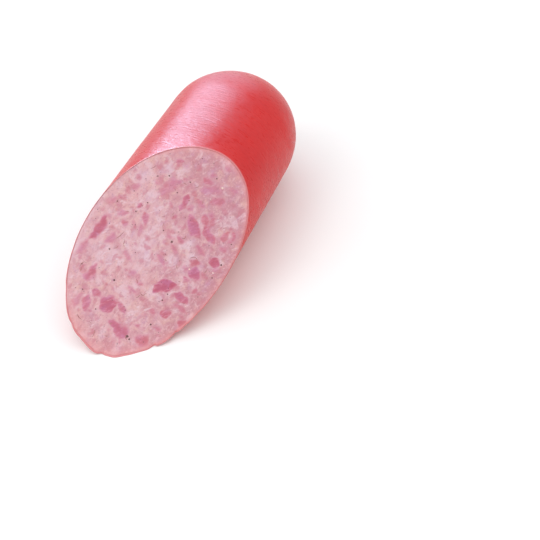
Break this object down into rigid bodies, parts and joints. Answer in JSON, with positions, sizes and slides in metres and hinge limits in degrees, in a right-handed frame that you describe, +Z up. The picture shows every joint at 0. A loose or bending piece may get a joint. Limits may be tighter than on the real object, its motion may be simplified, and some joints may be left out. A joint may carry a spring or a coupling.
{
  "type": "cured sausage end piece",
  "caption": "Rounded end of a ham sausage cut on a slant, lying on its side: coarse pink meat in a red film casing, closed by a metal clip.",
  "frame": {"origin": "on the surface the sausage lies on, under the middle of its bounding box", "axes": "+Y along the sausage's axis from the slanting cut to the closed end, +Z up, +X towards the side where the cut runs back furthest"},
  "size_m": [0.065, 0.1632, 0.0637],
  "materials": {
    "pink_meat": "satin",
    "casing_film": "satin",
    "clip_metal": "satin"
  },
  "bodies": {
    "root": {"meat_filling": "pink_meat", "casing": "casing_film", "end_clip": "clip_metal"}
  },
  "joints": []
}
